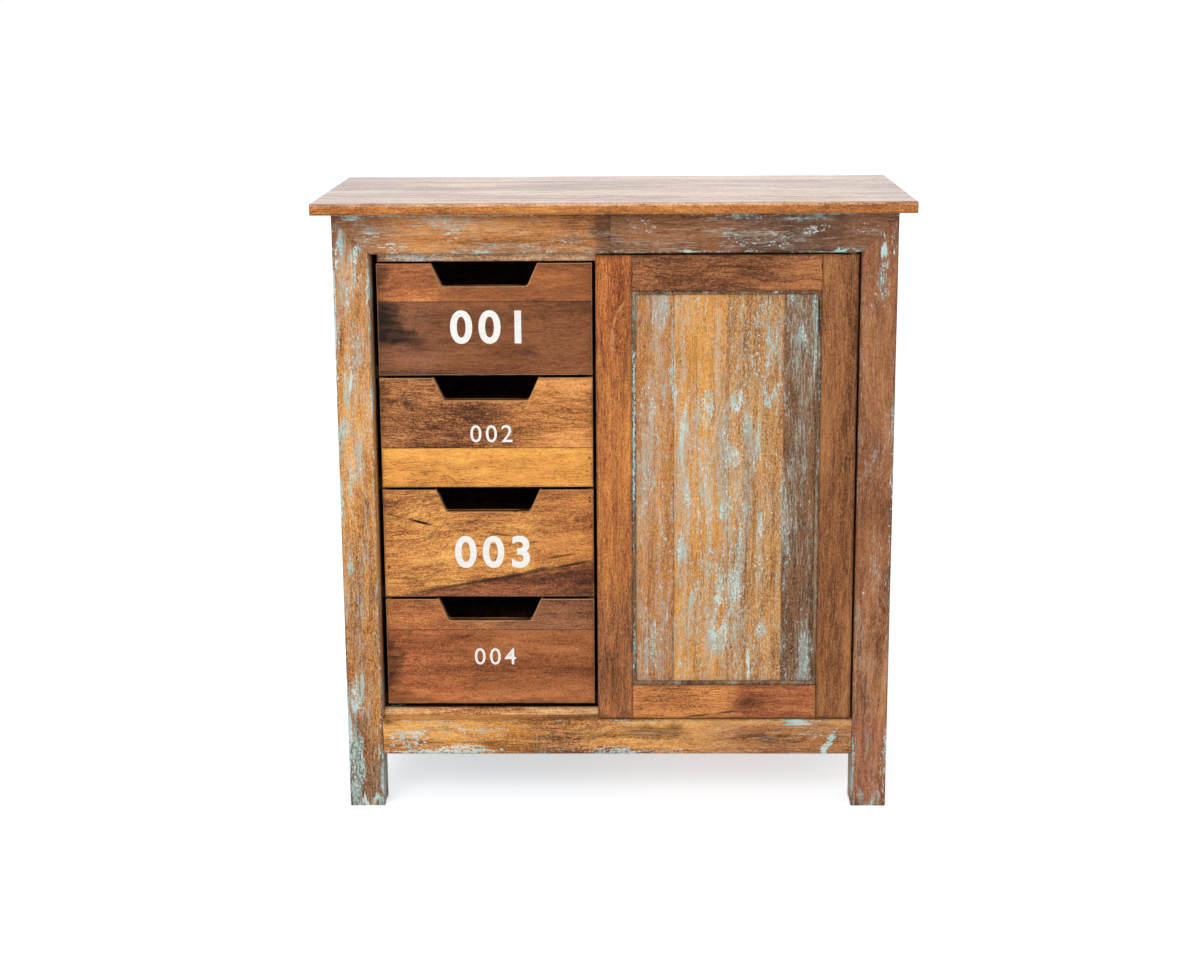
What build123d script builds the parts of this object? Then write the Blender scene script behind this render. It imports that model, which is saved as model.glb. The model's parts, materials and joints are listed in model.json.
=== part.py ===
from build123d import *
import os

# Reclaimed-wood cabinet: four crate drawers beside a framed door, on four square legs.
# Frame: X to the right, Y to the back, Z up, origin on the floor under the middle of the top.
# All sizes are in millimetres.

# Top and overall size
TOP_WIDTH = 800.0
TOP_DEPTH = 400.0
TOTAL_HEIGHT = 850.0
TOP_THICKNESS = 16.0
TOP_LEFT_OVERHANG = 25.0
TOP_RIGHT_OVERHANG = 21.5
TOP_FRONT_OVERHANG = 25.0
TOP_REAR_OVERHANG = 10.0
TOP_EDGE_RADIUS = 2.0

# Legs and rails
LEG_WIDTH = 49.0
LEG_DEPTH = 45.0
LEG_EDGE_RADIUS = 2.0
RAIL_THICKNESS = 22.0
RAIL_EDGE_RADIUS = 1.5
TOP_RAIL_HEIGHT = 54.0
BOTTOM_RAIL_HEIGHT = 51.0
UNDER_RAIL_HEIGHT = 77.0
SIDE_RAIL_INSET = 4.0
TENON_THICKNESS = 10.0
TENON_LENGTH = 20.0
TENON_SHOULDER = 6.0

# Side and back panels
PANEL_GROOVE_DEPTH = 8.0
PANEL_EXPANSION = 0.5
BACK_THICKNESS = 6.0

# Floor board, partition and the strip behind the top rail
FLOOR_THICKNESS = 20.0
FLOOR_LIP = 10.0
CLEAT_SIZE = 20.0
PARTITION_THICKNESS = 20.0
STRIP_THICKNESS = 14.0
STRIP_DROP = 12.5
STRIP_LAP = 25.0
STRIP_LEFT_GAP = 8.5
STRIP_RIGHT_GAP = 34.5

# Shelf behind the door
SHELF_THICKNESS = 16.0
SHELF_ABOVE_FLOOR = 300.0
SHELF_SETBACK = 25.0
SHELF_BEARING = 12.0

# Drawers
DRAWER_COUNT = 4
DRAWER_LEFT_GAP = 6.5
DRAWER_RIGHT_GAP = 4.5
DRAWER_GAP = 3.5
DRAWER_TOP_GAP = 2.5
DRAWER_BOTTOM_GAP = 6.0
DRAWER_REAR_GAP = 1.0
FRONT_THICKNESS = 16.0
FRONT_LIP = 12.0
FRONT_LAP = 8.0
FRONT_EDGE_RADIUS = 1.5
SIDE_THICKNESS = 12.0
SIDE_TOP_DROP = 12.0
BACK_BOARD_THICKNESS = 12.0
BACK_HOUSING = 4.0
BOTTOM_THICKNESS = 6.0
BOTTOM_GROOVE_DEPTH = 5.0
BOTTOM_RAISE = 8.0
GRIP_TOP_WIDTH = 143.0
GRIP_BOTTOM_WIDTH = 115.0
GRIP_DEPTH = 31.0
GRIP_CORNER_RADIUS = 3.0

# Drawer runners
RUNNER_BEARING = 2.5
SLIDE_CLEARANCE = 0.3

# Door
DOOR_WIDTH = 351.5
DOOR_SIDE_GAP = 2.5
DOOR_TOP_GAP = 2.5
DOOR_BOTTOM_GAP = 2.0
DOOR_BACK_GAP = 3.0
DOOR_STILE_WIDTH = 49.0
DOOR_RAIL_HEIGHT = 48.5
DOOR_EDGE_RADIUS = 2.0
DOOR_TENON_LENGTH = 25.0
PANEL_FRONT_SETBACK = 6.0
PANEL_REAR_SETBACK = 4.0
DOOR_PANEL_LAP = 8.0
BEAD_SIZE = 5.0
BEAD_RADIUS = 3.5

# Door pivots
PIVOT_FROM_EDGE = 8.0
PIVOT_FROM_FRONT = 6.5
PIN_DIAMETER = 6.0
PIN_IN_DOOR = 16.0
PIN_CLEARANCE = 0.05
PIN_END_GAP = 2.0
BUSH_DIAMETER = 9.0
BUSH_LENGTH = 14.0
BUSH_FLANGE_DIAMETER = 12.0

# Magnetic door catch
CATCH_BELOW_SHELF = 40.0
CATCH_WIDTH = 15.0
CATCH_LENGTH = 40.0
CATCH_HEIGHT = 16.0
CATCH_EDGE_RADIUS = 2.0
PLATE_MARGIN = 3.0
PLATE_THICKNESS = 1.5

# Main planes, worked out from the sizes above. X is measured here from the middle of the body,
# which stands a little to the right of the middle of the top.
TOP_UNDERSIDE = TOTAL_HEIGHT - TOP_THICKNESS
BODY_HALF = (TOP_WIDTH - TOP_LEFT_OVERHANG - TOP_RIGHT_OVERHANG) / 2
BODY_SHIFT = (TOP_LEFT_OVERHANG - TOP_RIGHT_OVERHANG) / 2
BODY_FRONT = -TOP_DEPTH / 2 + TOP_FRONT_OVERHANG
BODY_REAR = TOP_DEPTH / 2 - TOP_REAR_OVERHANG
OPENING_HALF = BODY_HALF - LEG_WIDTH
OPENING_TOP = TOP_UNDERSIDE - TOP_RAIL_HEIGHT
OPENING_BOTTOM = UNDER_RAIL_HEIGHT + BOTTOM_RAIL_HEIGHT
INNER_FRONT = BODY_FRONT + RAIL_THICKNESS
BACK_INNER = BODY_REAR - BACK_THICKNESS
FRONT_LEG_REAR = BODY_FRONT + LEG_DEPTH
REAR_LEG_FRONT = BODY_REAR - LEG_DEPTH
SIDE_RAIL_OUTER = BODY_HALF - SIDE_RAIL_INSET
SIDE_RAIL_INNER = SIDE_RAIL_OUTER - RAIL_THICKNESS
SIDE_RAIL_MIDDLE = (SIDE_RAIL_OUTER + SIDE_RAIL_INNER) / 2
SIDE_PANEL_INNER = SIDE_RAIL_MIDDLE - TENON_THICKNESS / 2
SIDE_PANEL_OUTER = SIDE_RAIL_MIDDLE + TENON_THICKNESS / 2
FLOOR_TOP = OPENING_BOTTOM + FLOOR_LIP
FLOOR_BOTTOM = FLOOR_TOP - FLOOR_THICKNESS
BAY_TOP = OPENING_TOP - STRIP_DROP

DOOR_THICKNESS = RAIL_THICKNESS - DOOR_BACK_GAP
DOOR_RIGHT = OPENING_HALF - DOOR_SIDE_GAP
DOOR_LEFT = DOOR_RIGHT - DOOR_WIDTH
DOOR_TOP = OPENING_TOP - DOOR_TOP_GAP
DOOR_BOTTOM = OPENING_BOTTOM + DOOR_BOTTOM_GAP
DOOR_BACK = BODY_FRONT + DOOR_THICKNESS
PARTITION_LEFT = DOOR_LEFT
PARTITION_RIGHT = PARTITION_LEFT + PARTITION_THICKNESS
SHELF_BOTTOM = FLOOR_TOP + SHELF_ABOVE_FLOOR

DRAWER_LEFT = -OPENING_HALF + DRAWER_LEFT_GAP
DRAWER_RIGHT = PARTITION_LEFT - DRAWER_RIGHT_GAP
DRAWER_FACE = INNER_FRONT
DRAWER_BACK = BACK_INNER - DRAWER_REAR_GAP
DRAWER_STACK = BAY_TOP - DRAWER_TOP_GAP - FLOOR_TOP - DRAWER_BOTTOM_GAP
DRAWER_HEIGHT = (DRAWER_STACK - (DRAWER_COUNT - 1) * DRAWER_GAP) / DRAWER_COUNT
RUNNER_HEIGHT = DRAWER_BOTTOM_GAP + FRONT_LIP - SLIDE_CLEARANCE


def block(x, y, z):
    """A box between three pairs of limits."""
    lows = [min(pair) for pair in (x, y, z)]
    sizes = [max(pair) - min(pair) for pair in (x, y, z)]
    return Pos(*lows) * Box(*sizes, align=(Align.MIN, Align.MIN, Align.MIN))


def eased(solid, axis, radius):
    """The solid with every edge that runs along the axis rounded."""
    return fillet(solid.edges().filter_by(axis), radius)


def prism_along_y(points, y):
    """A solid with an outline of (x, z) points, between two limits of Y."""
    outline = Plane.XZ * Polygon(*points, align=None)
    return Pos(0, min(y), 0) * extrude(outline, max(y) - min(y), dir=(0, 1, 0))


def save(name, *solids):
    """Writes one node, of one or more separate solids, moved from the body's middle to the top's."""
    placed = [Pos(BODY_SHIFT, 0, 0) * solid for solid in solids]
    shape = placed[0] if len(placed) == 1 else Compound(children=placed)
    export_step(shape, f"parts/{name}.step")


# Top
def top_board():
    """The planked top, with worn edges all round."""
    x = (-BODY_HALF - TOP_LEFT_OVERHANG, BODY_HALF + TOP_RIGHT_OVERHANG)
    y = (-TOP_DEPTH / 2, TOP_DEPTH / 2)
    board = block(x, y, (TOP_UNDERSIDE, TOTAL_HEIGHT))
    return fillet(board.edges(), TOP_EDGE_RADIUS)


# Rails
def front_top_rail():
    """The front rail under the top, mitred over the heads of the two front legs."""
    mitre_foot = (OPENING_HALF, OPENING_TOP)
    mitre_head = (BODY_HALF, OPENING_TOP + LEG_WIDTH)
    outline = [(-x, z) for x, z in (mitre_head, mitre_foot)] + [mitre_foot, mitre_head]
    outline += [(BODY_HALF, TOP_UNDERSIDE), (-BODY_HALF, TOP_UNDERSIDE)]
    rail = prism_along_y(outline, (BODY_FRONT, INNER_FRONT))
    lower_edges = rail.edges().filter_by(Axis.X).group_by(Axis.Z)[0]
    return fillet(lower_edges, RAIL_EDGE_RADIUS)


def cross_rail(y, z):
    """A rail between the two legs at the front or the rear, with a tenon at each end."""
    body = eased(block((-OPENING_HALF, OPENING_HALF), y, z), Axis.X, RAIL_EDGE_RADIUS)
    tenon_end = OPENING_HALF + TENON_LENGTH
    middle = sum(y) / 2
    tenon_y = (middle - TENON_THICKNESS / 2, middle + TENON_THICKNESS / 2)
    tenon_z = (z[0] + TENON_SHOULDER, z[1] - TENON_SHOULDER)
    return body + block((-tenon_end, tenon_end), tenon_y, tenon_z)


def side_rail(side, z):
    """A rail between the front and rear legs of one side, with a tenon at each end."""
    x = (side * SIDE_RAIL_INNER, side * SIDE_RAIL_OUTER)
    body = eased(block(x, (FRONT_LEG_REAR, REAR_LEG_FRONT), z), Axis.Y, RAIL_EDGE_RADIUS)
    tenon_x = (side * SIDE_PANEL_INNER, side * SIDE_PANEL_OUTER)
    tenon_y = (FRONT_LEG_REAR - TENON_LENGTH, REAR_LEG_FRONT + TENON_LENGTH)
    tenon_z = (z[0] + TENON_SHOULDER, z[1] - TENON_SHOULDER)
    return body + block(tenon_x, tenon_y, tenon_z)


# Side panels
def side_panel_blank(side, lap):
    """A side panel, as thick as the tenons, that reaches a given distance into the legs and rails."""
    x = (side * SIDE_PANEL_INNER, side * SIDE_PANEL_OUTER)
    y = (FRONT_LEG_REAR - lap, REAR_LEG_FRONT + lap)
    return block(x, y, (OPENING_BOTTOM - lap, OPENING_TOP + lap))


# Legs
def leg_blank(side, rear):
    """A square leg before its joints are cut."""
    y = (REAR_LEG_FRONT, BODY_REAR) if rear else (BODY_FRONT, FRONT_LEG_REAR)
    return block((side * OPENING_HALF, side * BODY_HALF), y, (0, TOP_UNDERSIDE))


def leg(side, rear, joined):
    """A leg cut for the rails and panel that join it. A front leg's head is mitred under the top rail."""
    post = eased(leg_blank(side, rear), Axis.Z, LEG_EDGE_RADIUS)
    if not rear:
        mitre_head = OPENING_TOP + LEG_WIDTH
        above_mitre = [
            (side * OPENING_HALF, OPENING_TOP),
            (side * BODY_HALF, mitre_head),
            (side * BODY_HALF, TOP_UNDERSIDE),
            (side * OPENING_HALF, TOP_UNDERSIDE),
        ]
        post -= prism_along_y(above_mitre, (BODY_FRONT, INNER_FRONT))
    for piece in joined:
        post -= piece
    return post


# Inside boards
def floor_board():
    """The floor, notched round the legs. Its front edge stands above the bottom rail."""
    x = (-SIDE_RAIL_INNER, SIDE_RAIL_INNER)
    board = block(x, (INNER_FRONT, BACK_INNER), (FLOOR_BOTTOM, FLOOR_TOP))
    for side in (-1, 1):
        for rear in (False, True):
            board -= leg_blank(side, rear)
    front_edge = board.edges().filter_by(Axis.X).group_by(Axis.Y)[0].sort_by(Axis.Z)[-1]
    return fillet(front_edge, RAIL_EDGE_RADIUS)


def floor_cleat():
    """The strip behind the bottom front rail that carries the front of the floor."""
    y = (INNER_FRONT, INNER_FRONT + CLEAT_SIZE)
    return block((-OPENING_HALF, OPENING_HALF), y, (FLOOR_BOTTOM - CLEAT_SIZE, FLOOR_BOTTOM))


def stop_strip():
    """The strip behind the top front rail that the door closes against."""
    x = (-OPENING_HALF + STRIP_LEFT_GAP, OPENING_HALF - STRIP_RIGHT_GAP)
    y = (INNER_FRONT, INNER_FRONT + STRIP_THICKNESS)
    strip = block(x, y, (BAY_TOP, OPENING_TOP + STRIP_LAP))
    return eased(strip, Axis.X, RAIL_EDGE_RADIUS)


def partition():
    """The board between the drawers and the cupboard, notched round the strip and the rear rail."""
    x = (PARTITION_LEFT, PARTITION_RIGHT)
    board = block(x, (INNER_FRONT, BACK_INNER), (FLOOR_TOP, TOP_UNDERSIDE))
    board -= block(x, (INNER_FRONT, INNER_FRONT + STRIP_THICKNESS), (BAY_TOP, TOP_UNDERSIDE))
    board -= block(x, (BACK_INNER - RAIL_THICKNESS, BACK_INNER), (OPENING_TOP, TOP_UNDERSIDE))
    return board


def back_panel():
    """The thin back between the rear legs, nailed over the rear rails."""
    x = (-OPENING_HALF, OPENING_HALF)
    return block(x, (BACK_INNER, BODY_REAR), (UNDER_RAIL_HEIGHT, TOP_UNDERSIDE))


def shelf():
    """The cupboard shelf, from the partition to the line of the right legs."""
    y = (INNER_FRONT + SHELF_SETBACK, BACK_INNER)
    board = block((PARTITION_RIGHT, OPENING_HALF), y, (SHELF_BOTTOM, SHELF_BOTTOM + SHELF_THICKNESS))
    front_edges = board.edges().filter_by(Axis.X).group_by(Axis.Y)[0]
    return fillet(front_edges, RAIL_EDGE_RADIUS)


def shelf_cleats():
    """The cleats on the partition and on the right side panel that carry the shelf."""
    z = (SHELF_BOTTOM - CLEAT_SIZE, SHELF_BOTTOM)
    left_y = (INNER_FRONT + SHELF_SETBACK, REAR_LEG_FRONT)
    left = block((PARTITION_RIGHT, PARTITION_RIGHT + CLEAT_SIZE), left_y, z)
    right_x = (OPENING_HALF - SHELF_BEARING, SIDE_PANEL_INNER)
    right = block(right_x, (FRONT_LEG_REAR, REAR_LEG_FRONT), z)
    return left, right


# Drawers
def drawer_bottom_z(index):
    """The height of a drawer front's lower edge, counted from the top drawer."""
    return BAY_TOP - DRAWER_TOP_GAP - (index + 1) * DRAWER_HEIGHT - index * DRAWER_GAP


def hand_grip(front_top):
    """The tapered notch cut down through the top edge of a drawer front."""
    middle = (DRAWER_LEFT + DRAWER_RIGHT) / 2
    floor = front_top - GRIP_DEPTH
    outline = Polygon(
        (middle - GRIP_TOP_WIDTH / 2, front_top),
        (middle - GRIP_BOTTOM_WIDTH / 2, floor),
        (middle + GRIP_BOTTOM_WIDTH / 2, floor),
        (middle + GRIP_TOP_WIDTH / 2, front_top),
        align=None,
    )
    rounded = fillet(outline.vertices().group_by(Axis.Y)[0], GRIP_CORNER_RADIUS)
    return Pos(0, DRAWER_FACE, 0) * extrude(Plane.XZ * rounded, FRONT_THICKNESS, dir=(0, 1, 0))


def drawer(index):
    """The five boards of one crate drawer, by name."""
    low = drawer_bottom_z(index)
    high = low + DRAWER_HEIGHT
    side_z = (low + FRONT_LIP, high - SIDE_TOP_DROP)
    bottom_z = (side_z[0] + BOTTOM_RAISE, side_z[0] + BOTTOM_RAISE + BOTTOM_THICKNESS)
    inner_left = DRAWER_LEFT + SIDE_THICKNESS
    inner_right = DRAWER_RIGHT - SIDE_THICKNESS
    front_rear = DRAWER_FACE + FRONT_THICKNESS

    bottom = block(
        (inner_left - BOTTOM_GROOVE_DEPTH, inner_right + BOTTOM_GROOVE_DEPTH),
        (front_rear - BOTTOM_GROOVE_DEPTH, DRAWER_BACK),
        bottom_z,
    )
    back = block(
        (inner_left - BACK_HOUSING, inner_right + BACK_HOUSING),
        (DRAWER_BACK - BACK_BOARD_THICKNESS, DRAWER_BACK),
        (bottom_z[1], side_z[1]),
    )
    side_y = (DRAWER_FACE + FRONT_LAP, DRAWER_BACK)
    left_blank = block((DRAWER_LEFT, inner_left), side_y, side_z)
    right_blank = block((inner_right, DRAWER_RIGHT), side_y, side_z)
    front = block((DRAWER_LEFT, DRAWER_RIGHT), (DRAWER_FACE, front_rear), (low, high))
    front -= hand_grip(high)
    front = fillet(front.faces().sort_by(Axis.Y)[0].edges(), FRONT_EDGE_RADIUS)
    return {
        "front": front - left_blank - right_blank - bottom,
        "left_side": left_blank - bottom - back,
        "right_side": right_blank - bottom - back,
        "back": back,
        "bottom": bottom,
    }


def runner_pair(index):
    """The left and right runners under one drawer. The left one is notched round the legs."""
    top = drawer_bottom_z(index) + FRONT_LIP - SLIDE_CLEARANCE
    z = (top - RUNNER_HEIGHT, top)
    y = (DRAWER_FACE + FRONT_THICKNESS + SLIDE_CLEARANCE, BACK_INNER)
    left = block((-SIDE_RAIL_INNER, DRAWER_LEFT + SIDE_THICKNESS + RUNNER_BEARING), y, z)
    left = left - leg_blank(-1, False) - leg_blank(-1, True)
    right = block((DRAWER_RIGHT - SIDE_THICKNESS - RUNNER_BEARING, PARTITION_LEFT), y, z)
    return left, right


# Door
def door_panel_blank(lap):
    """The door panel, reaching the given distance into the stiles and rails."""
    x = (DOOR_LEFT + DOOR_STILE_WIDTH - lap, DOOR_RIGHT - DOOR_STILE_WIDTH + lap)
    z = (DOOR_BOTTOM + DOOR_RAIL_HEIGHT - lap, DOOR_TOP - DOOR_RAIL_HEIGHT + lap)
    return block(x, (BODY_FRONT + PANEL_FRONT_SETBACK, DOOR_BACK - PANEL_REAR_SETBACK), z)


def door_rail(z):
    """A door rail with a tenon at each end, as thick as the panel's groove."""
    x = (DOOR_LEFT + DOOR_STILE_WIDTH, DOOR_RIGHT - DOOR_STILE_WIDTH)
    body = block(x, (BODY_FRONT, DOOR_BACK), z)
    tenon_x = (x[0] - DOOR_TENON_LENGTH, x[1] + DOOR_TENON_LENGTH)
    tenon_y = (BODY_FRONT + PANEL_FRONT_SETBACK, DOOR_BACK - PANEL_REAR_SETBACK)
    return body + block(tenon_x, tenon_y, (z[0] + TENON_SHOULDER, z[1] - TENON_SHOULDER))


def door_stile(outer, inner, joined):
    """A door stile with its outer edges rounded, cut for the rails, the panel and the pins."""
    blank = block((outer, inner), (BODY_FRONT, DOOR_BACK), (DOOR_BOTTOM, DOOR_TOP))
    upright_edges = blank.edges().filter_by(Axis.Z).group_by(Axis.X)
    outer_edges = upright_edges[0] if outer < inner else upright_edges[-1]
    stile = fillet(outer_edges, DOOR_EDGE_RADIUS)
    for piece in joined:
        stile -= piece
    return stile


def panel_beads():
    """Four mitred beads in the corner between the door frame and the panel."""
    x = (DOOR_LEFT + DOOR_STILE_WIDTH, DOOR_RIGHT - DOOR_STILE_WIDTH)
    z = (DOOR_BOTTOM + DOOR_RAIL_HEIGHT, DOOR_TOP - DOOR_RAIL_HEIGHT)
    panel_face = BODY_FRONT + PANEL_FRONT_SETBACK
    y = (panel_face - BEAD_SIZE, panel_face)
    inner_x = (x[0] + BEAD_SIZE, x[1] - BEAD_SIZE)
    inner_z = (z[0] + BEAD_SIZE, z[1] - BEAD_SIZE)
    hole = block(inner_x, y, inner_z)
    ring = block(x, y, z) - hole
    ring = fillet(ring.faces().sort_by(Axis.Y)[0].inner_wires()[0].edges(), BEAD_RADIUS)
    left, right, low, high = (
        [(x[0], z[0]), (inner_x[0], inner_z[0]), (inner_x[0], inner_z[1]), (x[0], z[1])],
        [(x[1], z[1]), (inner_x[1], inner_z[1]), (inner_x[1], inner_z[0]), (x[1], z[0])],
        [(x[1], z[0]), (inner_x[1], inner_z[0]), (inner_x[0], inner_z[0]), (x[0], z[0])],
        [(x[0], z[1]), (inner_x[0], inner_z[1]), (inner_x[1], inner_z[1]), (x[1], z[1])],
    )
    return [ring & prism_along_y(quarter, y) for quarter in (left, right, low, high)]


# Door pivots
def pivot_place():
    """The X and Y of the door's axis."""
    return DOOR_RIGHT - PIVOT_FROM_EDGE, BODY_FRONT + PIVOT_FROM_FRONT


def upright_cylinder(diameter, z):
    """A round bar on the door's axis, between two heights."""
    base = Pos(*pivot_place(), min(z))
    return base * Cylinder(diameter / 2, max(z) - min(z), align=(Align.CENTER, Align.CENTER, Align.MIN))


def pivot_pins():
    """The pins pressed into the door's lower and upper edges."""
    reach = BUSH_LENGTH - PIN_END_GAP
    lower = upright_cylinder(PIN_DIAMETER, (OPENING_BOTTOM - reach, DOOR_BOTTOM + PIN_IN_DOOR))
    upper = upright_cylinder(PIN_DIAMETER, (DOOR_TOP - PIN_IN_DOOR, OPENING_TOP + reach))
    return lower, upper


def pivot_bush(edge, gap, direction):
    """A flanged bush let into a rail. The flange fills the gap to the door, less a clearance."""
    flange_end = edge - direction * (gap - SLIDE_CLEARANCE)
    bush = upright_cylinder(BUSH_DIAMETER, (edge, edge + direction * BUSH_LENGTH))
    bush += upright_cylinder(BUSH_FLANGE_DIAMETER, (edge, flange_end))
    bore = upright_cylinder(PIN_DIAMETER + 2 * PIN_CLEARANCE, (flange_end, edge + direction * BUSH_LENGTH))
    return bush - bore


def bush_seat(edge, direction):
    """The hole in a rail that a bush is pressed into."""
    return upright_cylinder(BUSH_DIAMETER, (edge, edge + direction * BUSH_LENGTH))


# Door catch
def catch_magnet():
    """The magnet block on the partition, behind the door's free stile."""
    top = SHELF_BOTTOM - CATCH_BELOW_SHELF
    front = DOOR_BACK + PLATE_THICKNESS + SLIDE_CLEARANCE
    case = block(
        (PARTITION_RIGHT, PARTITION_RIGHT + CATCH_WIDTH),
        (front, front + CATCH_LENGTH),
        (top - CATCH_HEIGHT, top),
    )
    return eased(case, Axis.Y, CATCH_EDGE_RADIUS)


def catch_plate():
    """The steel plate on the back of the door that the magnet holds."""
    top = SHELF_BOTTOM - CATCH_BELOW_SHELF + PLATE_MARGIN
    low = SHELF_BOTTOM - CATCH_BELOW_SHELF - CATCH_HEIGHT - PLATE_MARGIN
    x = (PARTITION_RIGHT, PARTITION_RIGHT + CATCH_WIDTH)
    return block(x, (DOOR_BACK, DOOR_BACK + PLATE_THICKNESS), (low, top))


def build_carcass():
    """Writes the legs, rails, panels and boards that stand still."""
    save("top_board", top_board())

    bottom_z = (UNDER_RAIL_HEIGHT, OPENING_BOTTOM)
    top_z = (OPENING_TOP, TOP_UNDERSIDE)
    rear_y = (BACK_INNER - RAIL_THICKNESS, BACK_INNER)
    front_bottom = cross_rail((BODY_FRONT, INNER_FRONT), bottom_z)
    rear_top = cross_rail(rear_y, top_z)
    rear_bottom = cross_rail(rear_y, (UNDER_RAIL_HEIGHT, FLOOR_BOTTOM))
    save("front_top_rail", front_top_rail() - bush_seat(OPENING_TOP, 1))
    save("front_bottom_rail", front_bottom - bush_seat(OPENING_BOTTOM, -1))
    save("rear_top_rail", rear_top)
    save("rear_bottom_rail", rear_bottom)

    for side, word in ((-1, "left"), (1, "right")):
        groove = side_panel_blank(side, PANEL_GROOVE_DEPTH)
        upper = side_rail(side, top_z)
        lower = side_rail(side, bottom_z)
        save(f"{word}_top_rail", upper - groove)
        save(f"{word}_bottom_rail", lower - groove)
        save(f"{word}_side_panel", side_panel_blank(side, PANEL_GROOVE_DEPTH - PANEL_EXPANSION))
        save(f"front_{word}_leg", leg(side, False, [front_bottom, upper, lower, groove]))
        save(f"rear_{word}_leg", leg(side, True, [rear_top, rear_bottom, upper, lower, groove]))

    save("back_panel", back_panel())
    save("floor_board", floor_board())
    save("floor_cleat", floor_cleat())
    save("stop_strip", stop_strip())
    save("partition", partition())
    save("shelf", shelf())
    left_cleat, right_cleat = shelf_cleats()
    save("shelf_cleat_left", left_cleat)
    save("shelf_cleat_right", right_cleat)
    runners = [runner_pair(index) for index in range(DRAWER_COUNT)]
    save("drawer_runners_left", *[pair[0] for pair in runners])
    save("drawer_runners_right", *[pair[1] for pair in runners])
    save("pivot_bush_top", pivot_bush(OPENING_TOP, DOOR_TOP_GAP, 1))
    save("pivot_bush_bottom", pivot_bush(OPENING_BOTTOM, DOOR_BOTTOM_GAP, -1))
    save("catch_magnet", catch_magnet())


def build_drawers():
    """Writes the five boards of each drawer, numbered from the top."""
    for index in range(DRAWER_COUNT):
        for piece, solid in drawer(index).items():
            save(f"drawer_{index + 1}_{piece}", solid)


def build_door():
    """Writes the framed door with its beads, pins and catch plate."""
    top_rail = door_rail((DOOR_TOP - DOOR_RAIL_HEIGHT, DOOR_TOP))
    bottom_rail = door_rail((DOOR_BOTTOM, DOOR_BOTTOM + DOOR_RAIL_HEIGHT))
    groove = door_panel_blank(DOOR_PANEL_LAP)
    pins = pivot_pins()
    save("door_top_rail", top_rail - groove)
    save("door_bottom_rail", bottom_rail - groove)
    save("door_panel", door_panel_blank(DOOR_PANEL_LAP - PANEL_EXPANSION))
    left_inner = DOOR_LEFT + DOOR_STILE_WIDTH
    right_inner = DOOR_RIGHT - DOOR_STILE_WIDTH
    save("door_left_stile", door_stile(DOOR_LEFT, left_inner, [top_rail, bottom_rail, groove]))
    save("door_right_stile", door_stile(DOOR_RIGHT, right_inner, [top_rail, bottom_rail, groove, *pins]))
    save("door_panel_beads", *panel_beads())
    save("door_pivot_pins", *pins)
    save("door_catch_plate", catch_plate())


os.makedirs("parts", exist_ok=True)
build_carcass()
build_drawers()
build_door()
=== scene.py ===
import json
import math
from dataclasses import dataclass

import bmesh
import bpy
from mathutils import Matrix, Vector, noise

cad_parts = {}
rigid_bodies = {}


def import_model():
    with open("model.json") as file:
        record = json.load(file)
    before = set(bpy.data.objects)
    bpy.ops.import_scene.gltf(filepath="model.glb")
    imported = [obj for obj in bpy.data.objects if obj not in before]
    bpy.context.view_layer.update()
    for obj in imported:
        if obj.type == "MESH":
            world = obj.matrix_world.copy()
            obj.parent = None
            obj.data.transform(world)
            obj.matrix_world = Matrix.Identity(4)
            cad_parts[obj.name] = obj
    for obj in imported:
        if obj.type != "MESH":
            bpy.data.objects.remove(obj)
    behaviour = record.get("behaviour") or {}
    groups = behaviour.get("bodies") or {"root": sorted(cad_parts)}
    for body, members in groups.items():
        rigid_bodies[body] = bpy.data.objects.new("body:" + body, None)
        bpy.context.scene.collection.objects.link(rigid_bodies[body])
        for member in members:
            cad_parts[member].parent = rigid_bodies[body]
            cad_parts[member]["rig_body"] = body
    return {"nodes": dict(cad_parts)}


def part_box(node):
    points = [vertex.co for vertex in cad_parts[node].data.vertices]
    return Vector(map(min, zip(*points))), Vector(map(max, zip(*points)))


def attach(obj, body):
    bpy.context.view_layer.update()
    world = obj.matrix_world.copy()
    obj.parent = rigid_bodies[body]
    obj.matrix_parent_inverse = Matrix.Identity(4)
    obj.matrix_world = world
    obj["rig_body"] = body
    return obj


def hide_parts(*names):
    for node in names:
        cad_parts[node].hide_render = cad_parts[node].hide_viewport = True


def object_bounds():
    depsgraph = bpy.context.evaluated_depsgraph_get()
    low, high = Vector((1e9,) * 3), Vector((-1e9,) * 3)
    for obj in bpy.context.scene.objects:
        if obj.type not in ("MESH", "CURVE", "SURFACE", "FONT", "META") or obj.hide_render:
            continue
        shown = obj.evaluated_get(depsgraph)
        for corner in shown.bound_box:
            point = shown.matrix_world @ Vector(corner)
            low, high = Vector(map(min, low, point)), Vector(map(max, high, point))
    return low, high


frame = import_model()
cad_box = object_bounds()

# A worn cabinet of reclaimed wood. Metres, X to the right, Y to the back, Z up.

# Viewpoint, worked out from the edges of the top, the legs and the feet
IMAGE_WIDTH = 1200
SENSOR_WIDTH = 36.0
FOCAL_PIXELS = 2148.0
CAMERA_PLACE = Vector((0.0311, -3.0231, 1.1284))
CAMERA_PITCH = math.radians(12.990)
CAMERA_YAW = math.radians(1.021)
CAMERA_ROLL = math.radians(-0.365)

# Wear of the boards: a face looks along one axis, a rounded edge along two and a corner along three
CUT_SPACING = 0.014
JOIN_DISTANCE = 1e-6
FACE_LIMIT = 0.985
CORNER_LIMIT = 0.2
WAVE_DEPTH = 0.0004
WAVE_SCALE = 17.0
DENT_DEPTH = 0.0022
DENT_SCALE = 62.0
DENT_START = 0.12
SHARP_ANGLE = math.radians(38)

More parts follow.
